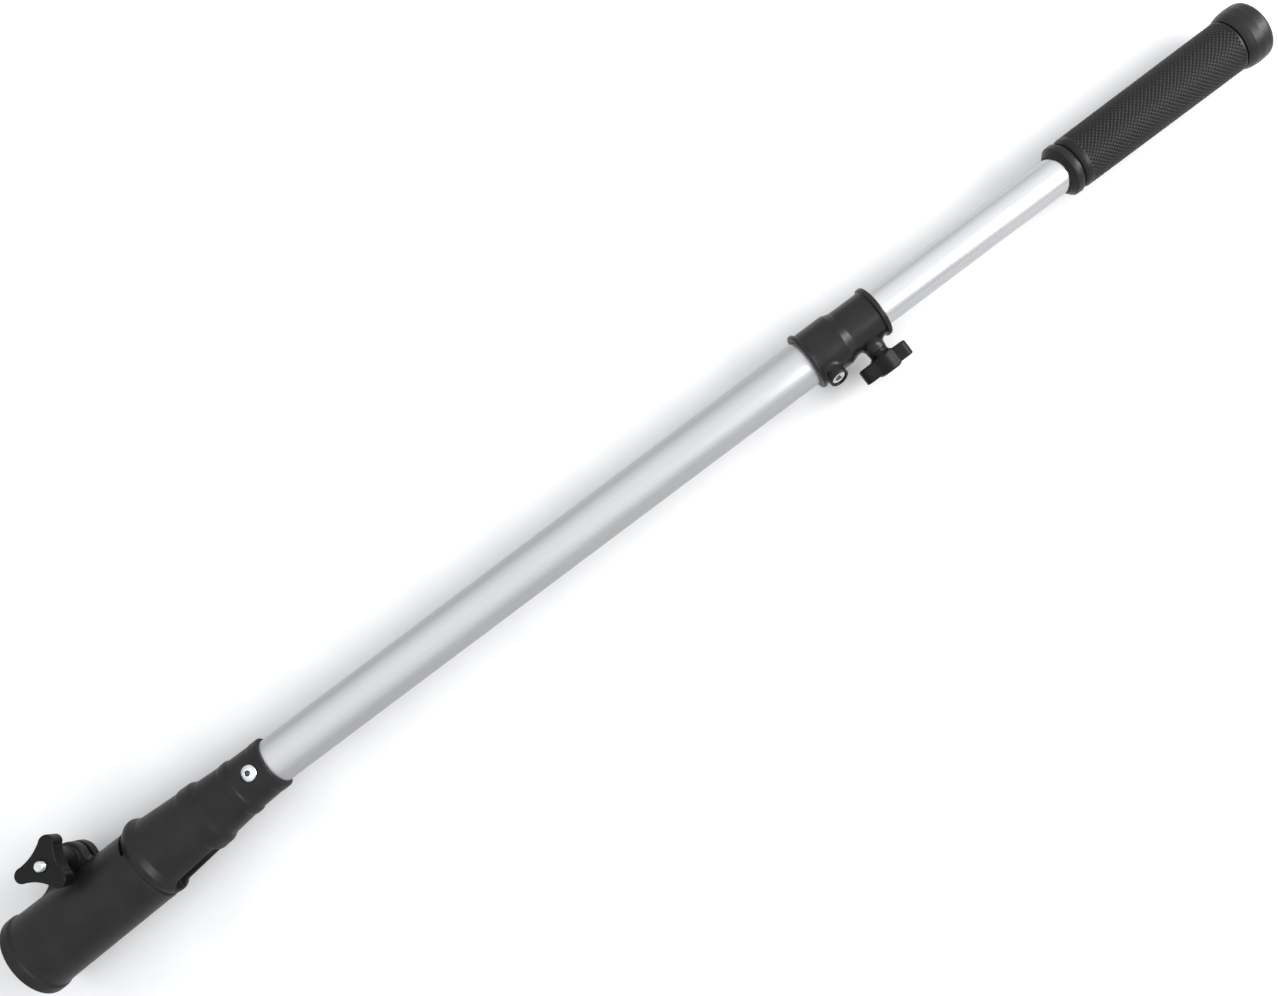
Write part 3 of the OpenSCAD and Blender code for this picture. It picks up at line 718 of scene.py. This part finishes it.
def collar_shape(x, y, z):
    """A stepped sleeve with a lip at each end and two bosses, bored for both tubes."""
    body = common(collar_line(x, np.hypot(y, z)), slab(x, collar_start, collar_end), 0.6)
    lock_out, side = out_along(y, z, lock_turn)
    r_lock = np.hypot(x - lock_station, side)
    boss = common(r_lock - lock_boss_r, slab(lock_out, 8, lock_boss_top), 0.25)
    body = blend(body, boss, 3.2)
    fix_out, side = out_along(y, z, fix_turn)
    r_fix = np.hypot(x - fix_mid[0], side)
    boss = common(r_fix - fix_boss_r, slab(fix_out, 8, fix_boss_top), 0.9)
    body = blend(body, boss, 2.2)
    body = cut(body, np.maximum(r_fix - 4.45, screw_top - screw_head_h - fix_out), 0.3)
    body = cut(body, np.maximum(r_fix - 2.6, 5 - fix_out), 0.2)
    body = cut(body, np.maximum(r_lock - insert_r, insert_floor - lock_out), 0.3)
    body = cut(body, np.maximum(r_lock - 3.3, 5 - lock_out), 0.2)
    body = cut(body, np.maximum(rod(y, z, tube_r + 0.05), x - seat_end), 0.5)
    return cut(body, rod(y, z, 11.3), 0.5)


moulded("lock_collar_shell", POLE, collar_shape, collar_low - 1.5, collar_high + 1.5,
        0.36, "lock_collar")


def cap_screw_shape(x, y, z):
    """A socket-head cap screw with its hex key's hole."""
    top = screw_top
    r = np.hypot(x, y)
    head = common(r - 4.22, slab(z, top - screw_head_h, top), 0.45)
    shank = common(thread(x, y, z, *M5), slab(z, 11.6, top - 3), 0.3)
    body = np.minimum(head, shank)
    key = np.maximum(hexagon(x, y, 4.05), top - 2.4 - z)
    return cut(body, key, 0.25)


moulded("collar_screw_cap", FIX, cap_screw_shape, [-5, -5, 11], [5, 5, 22.6],
        0.16, "collar_screw")


# ---------------------------------------------------------------- lock screw and tee

tee_low, tee_high = LOCK.span("lock_knob")
screw_low, screw_high = LOCK.span("lock_screw")


def tee_shape(x, y, z):
    """A bar with tapered ends on a short neck, with a round crown over the screw."""
    base, bar_low, bar_high = tee_low[2], 21.8, tee_high[2] - 1.1
    half_long = tee_high[0]
    r = np.hypot(x, y)
    waist = 5.5 + 0.3 * np.clip((base + 1.2 - z) / 1.2, 0, 1)
    neck = common(r - waist, slab(z, base, bar_high - 1), 0.25)
    taper = 0.35 * (x / half_long) ** 2
    bar = common(rounded_box(x, y, half_long, 4.5 - taper, 3.6),
                 slab(z, bar_low + 0.3 * np.abs(x) / half_long, bar_high), 1.1)
    crown = common(r - 6.3, slab(z, bar_low, tee_high[2]), 1.2)
    body = blend(blend(neck, bar, 2.6), crown, 1.5)
    return cut(body, np.maximum(r - 2.97, z - screw_high[2]), 0.2)


moulded("tee_handle", LOCK, tee_shape, tee_low - 1, tee_high + 1,
        0.3, "lock_knob")


def lock_screw_shape(x, y, z):
    """A threaded rod, hollow at its inner end for the pad's stem."""
    body = slab(z, screw_low[2], screw_high[2] - 0.1)
    body = common(thread(x, y, z, *M6), body, 0.3)
    return cut(body, np.maximum(rod(x, y, 1.3), z - 15.2), 0.1)


moulded("lock_screw_thread", LOCK, lock_screw_shape, screw_low - 0.6, screw_high + 0.6,
        0.18, "lock_screw")


# ---------------------------------------------------------------- grip

core_low, core_high = POLE.span("grip_core")
sleeve_low, sleeve_high = POLE.span("grip_sleeve")
cap_low, cap_high = POLE.span("grip_end_cap")
ring_start = core_low[0]
sleeve_start, sleeve_end = sleeve_low[0], sleeve_high[0]
cap_start, cap_end = sleeve_end + 0.4, cap_high[0]
inner_r = POLE.span("inner_tube")[1][2]
ring_r, cap_r = core_high[2], cap_high[2]
front_r, rear_r = 15.3, sleeve_high[2]


def scallop(station, turn):
    """The ring's front edge is cut back on its near and far sides."""
    depth = 2.3 * np.clip((ring_start + 5.5 - station) / 5.5, 0, 1)
    return depth * np.cos(turn - math.radians(102)) ** 2


lathe("grip_front_ring", POLE, soften([
    (ring_start, inner_r + 0.05, 0.1), (ring_start, 11.9, 0.3),
    (ring_start + 3.5, ring_r - 0.25, 0.8), (sleeve_start - 2.1, ring_r, 0.8),
    (sleeve_start - 2.1, 13.6, 0.3), (sleeve_start - 0.1, 13.6, 0.2),
    (sleeve_start - 0.1, 13, 0.1), (sleeve_end, 13, 0.1),
    (sleeve_end, inner_r + 0.05, 0.1)], 0.3), "grip_core", sides=160, shift=scallop)

cap_outline = soften([
    (cap_low[0], 0, 0), (cap_low[0], 9.7, 0.8), (cap_start, 9.7, 0.1),
    (cap_start, rear_r - 0.1, 0.8), (cap_start + 2.1, rear_r + 0.9, 2.0),
    (cap_start + 4.6, rear_r + 1.65, 2.0), (cap_start + 9.0, cap_r + 0.1, 5.0),
    (cap_end - 0.5, cap_r - 0.4, 4.6), (cap_end, 8, 2.0), (cap_end, 5.5, 0), (cap_end, 3.5, 0),
    (cap_end, 1.8, 0), (cap_end, 0.7, 0), (cap_end, 0, 0)], 0.3, steps=9)
lathe("grip_end_cap_turned", POLE, cap_outline, "grip_end_cap", sides=192)

# The sleeve's diamonds: two sets of grooves that cross, with their points worn flat.
pitch, starts, depth = 2.55, 36, 0.5


def diamonds(station, turn, radius):
    """The radius round the sleeve, less the grooves, which fade out near its ends."""
    edge = min(station - sleeve_start - 2.6, sleeve_end - station)
    fade = np.clip((edge - 1.8) / 0.8, 0, 1)
    a = (station - sleeve_start) / pitch + starts * turn / (2 * math.pi)
    b = (station - sleeve_start) / pitch - starts * turn / (2 * math.pi)
    rise = 1 - np.maximum(np.abs(a % 1 - 0.5), np.abs(b % 1 - 0.5)) * 2
    point = np.clip(1.35 * rise, 0, 0.8) / 0.8
    return radius - depth * fade * (1 - point)


rings = 440
knurl_start, knurl_end = sleeve_start + 3.0, sleeve_end - 0.9
front_round = [(sleeve_start + 3.0 * (1 - math.cos(a)), front_r - 1.7 * (1 - math.sin(a)))
               for a in np.linspace(0, math.pi / 2, 10)[:-1]]
stations = np.linspace(knurl_start + 0.1, knurl_end - 0.1, rings)
taper = (rear_r - front_r) / (sleeve_end - sleeve_start)
radii = front_r + taper * (stations - sleeve_start)
rubber_outline = np.concatenate([
    [(sleeve_start, 13.05)], front_round, np.stack([stations, radii], 1),
    [(sleeve_end - 0.5, rear_r - 0.15), (sleeve_end - 0.1, rear_r - 0.55),
     (sleeve_end, rear_r - 1.1), (sleeve_end, 13.05)]])


def sleeve_relief(station, turn, radius):
    """Diamonds on the sleeve's length, and plain ends."""
    if knurl_start < station < knurl_end:
        return diamonds(station, turn, radius)
    return np.full(len(turn), radius)


lathe("grip_rubber_sleeve", POLE, rubber_outline, "grip_sleeve",
      sides=720, relief=sleeve_relief, sharp=60)


# ---------------------------------------------------------------- camera, floor and light

def look(deg):
    """The way from the tubes to the camera: overhead, then tilted about the tubes."""
    tilt = math.radians(deg)
    toward = np.array([0, -math.sin(tilt), math.cos(tilt)])
    return unit(toward - (toward @ pole_axis) * pole_axis)


view_dir = look(12)
up_pole = np.cross(view_dir, pole_axis)
# In the picture the tubes rise 3 for every 4 across.
right = 0.8 * pole_axis - 0.6 * up_pole
up = 0.6 * pole_axis + 0.8 * up_pole
aim_station, aim_drop, camera_distance = 420.0, 4.48, 0.69
aim = (POLE.world([aim_station, 0, 0]) - aim_drop * up_pole) * MM
camera_data = bpy.data.cameras.new("camera")
camera_data.lens = 35.11
camera_data.sensor_width = 36
camera_data.clip_start, camera_data.clip_end = 0.01, 50
camera = bpy.data.objects.new("camera", camera_data)
bpy.context.scene.collection.objects.link(camera)
turn = Matrix(np.stack([right, up, view_dir], 1).tolist())
camera.matrix_world = Matrix.Translation(Vector(aim + view_dir * camera_distance)) @ turn.to_4x4()
bpy.context.scene.camera = camera

floor_mesh = bpy.data.meshes.new("floor")
floor_half, floor_gap = 3.0, 0.0005
middle = (cad_bounds[0] + cad_bounds[1]) / 2
level = cad_bounds[0].z - floor_gap
floor_mesh.from_pydata([(middle.x + i * floor_half, middle.y + j * floor_half, level)
                        for i, j in ((-1, -1), (1, -1), (1, 1), (-1, 1))], [], [(0, 1, 2, 3)])
floor = bpy.data.objects.new("floor", floor_mesh)
bpy.context.scene.collection.objects.link(floor)
paper = Shader("floor_paper")
speck = paper.noise(30, paper.where(), 3)
paper_colour = paper.mix(paper.range(speck, 0.3, 0.7, 0, 1), grey(0.47), grey(0.49))
paper.surface(Base_Color=paper_colour, Roughness=0.9, Specular_IOR_Level=0.1)
floor.data.materials.append(paper.material)


def softbox(name, place, target, width, height, watts):
    """A rectangular light that faces the target."""
    data = bpy.data.lights.new(name, "AREA")
    data.shape, data.size, data.size_y, data.energy = "RECTANGLE", width, height, watts
    obj = bpy.data.objects.new(name, data)
    obj.location = place
    obj.rotation_mode = "QUATERNION"
    obj.rotation_quaternion = (Vector(target) - Vector(place)).to_track_quat("-Z", "Y")
    bpy.context.scene.collection.objects.link(obj)


centre = Vector((middle.x, middle.y, 0))
key = 0.68 * pole_axis + 0.67 * view_dir - 0.29 * up_pole
softbox("key_softbox", centre + Vector(key) * 1.6, centre, 0.95, 0.45, 30.0)
low_key = 0.9 * pole_axis + 0.42 * view_dir - 0.05 * up_pole
softbox("low_softbox", centre + Vector(low_key) * 1.9, centre, 0.7, 0.4, 14.0)

# A dome of soft light: brightest overhead, and half as bright at the horizon.
world = bpy.data.worlds.new("studio")
bpy.context.scene.world = world
world.use_nodes = True
tree = world.node_tree
tree.nodes.clear()
here = tree.nodes.new("ShaderNodeTexCoord")
split = tree.nodes.new("ShaderNodeSeparateXYZ")
rise = tree.nodes.new("ShaderNodeMapRange")
sky = tree.nodes.new("ShaderNodeBackground")
out = tree.nodes.new("ShaderNodeOutputWorld")
tree.links.new(here.outputs["Generated"], split.inputs[0])
tree.links.new(split.outputs["Z"], rise.inputs["Value"])
for socket, value in (("From Min", 0.0), ("From Max", 0.95), ("To Min", 1.06), ("To Max", 2.08)):
    rise.inputs[socket].default_value = value
tree.links.new(rise.outputs[0], sky.inputs["Strength"])
sky.inputs["Color"].default_value = (0.97, 0.98, 1, 1)
tree.links.new(sky.outputs[0], out.inputs[0])

bpy.context.scene.view_settings.view_transform = "Standard"
bpy.context.scene.view_settings.look = "None"
